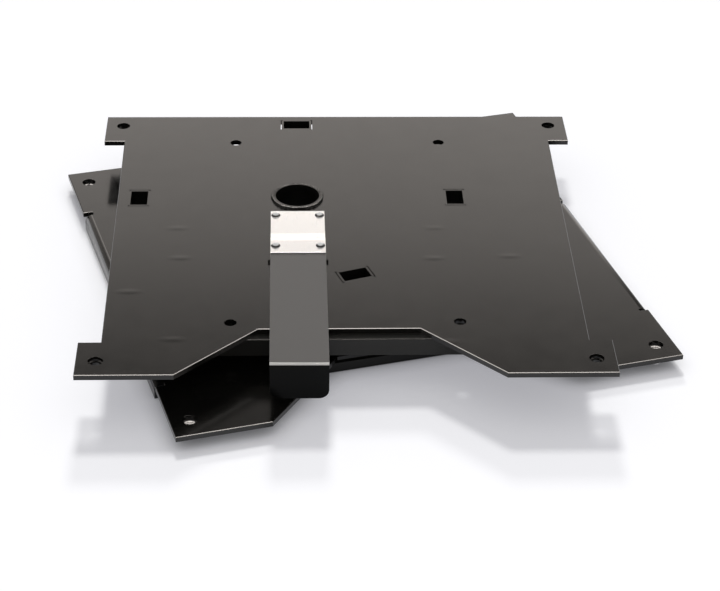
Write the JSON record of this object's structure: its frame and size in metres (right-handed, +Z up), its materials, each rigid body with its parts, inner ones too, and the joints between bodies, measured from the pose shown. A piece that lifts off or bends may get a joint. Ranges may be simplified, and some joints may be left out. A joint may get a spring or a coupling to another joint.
{
  "type": "swivel seat base",
  "caption": "Black swivel seat base: an upper plate with notched front and ears turns over a flanged lower plate, with a sprung release lever on top.",
  "frame": {"origin": "on the swivel axis at the underside of the lower plate, the face that lies on the seat box", "axes": "+X to the right, +Y to the back, away from the lever's handle, +Z up along the swivel axis, square to the lower plate"},
  "size_m": [0.5689, 0.5752, 0.0608],
  "materials": {
    "black_coat": "semi-gloss black powder coat on steel",
    "leaf_zinc": "bright plated spring steel",
    "zinc": "zinc-plated steel",
    "slide_plastic": "natural acetal",
    "black_plastic": "black nylon"
  },
  "bodies": {
    "base": {"lower_plate": "black_coat", "lower_front_stiffener": "black_coat", "bearing_collar": "black_coat", "bearing_bush": "slide_plastic"},
    "carrier": {"upper_plate": "black_coat", "upper_front_stiffener": "black_coat", "pivot_tube": "black_coat", "glide_post_right": "black_coat", "glide_post_front": "black_coat", "glide_post_left": "black_coat", "glide_post_rear": "black_coat", "glide_shoe_right": "black_plastic", "glide_shoe_front": "black_plastic", "glide_shoe_left": "black_plastic", "glide_shoe_rear": "black_plastic", "retaining_washer": "zinc", "retaining_clip": "zinc", "seat_weld_nuts": "black_coat", "leaf_rear_rivets": "leaf_zinc", "leaf_spring": "leaf_zinc"},
    "lever": {"release_lever": "black_coat", "lock_blade": "black_coat", "leaf_front_rivets": "leaf_zinc"}
  },
  "joints": [
    {"name": "swivel", "type": "hinge", "parent": "base", "child": "carrier", "pos_m": [0, 0, 0.02], "axis": [0, 0, 1], "continuous": true},
    {"name": "lever_lift", "type": "hinge", "parent": "carrier", "child": "lever", "pos_m": [-0.021, -0.07719, 0.044], "axis": [-0.9649, 0.2625, 0], "range_deg": [0, 9], "stiffness_Nm_per_rad": 30, "springref_deg": -2.86, "deforming": ["leaf_spring"]}
  ]
}
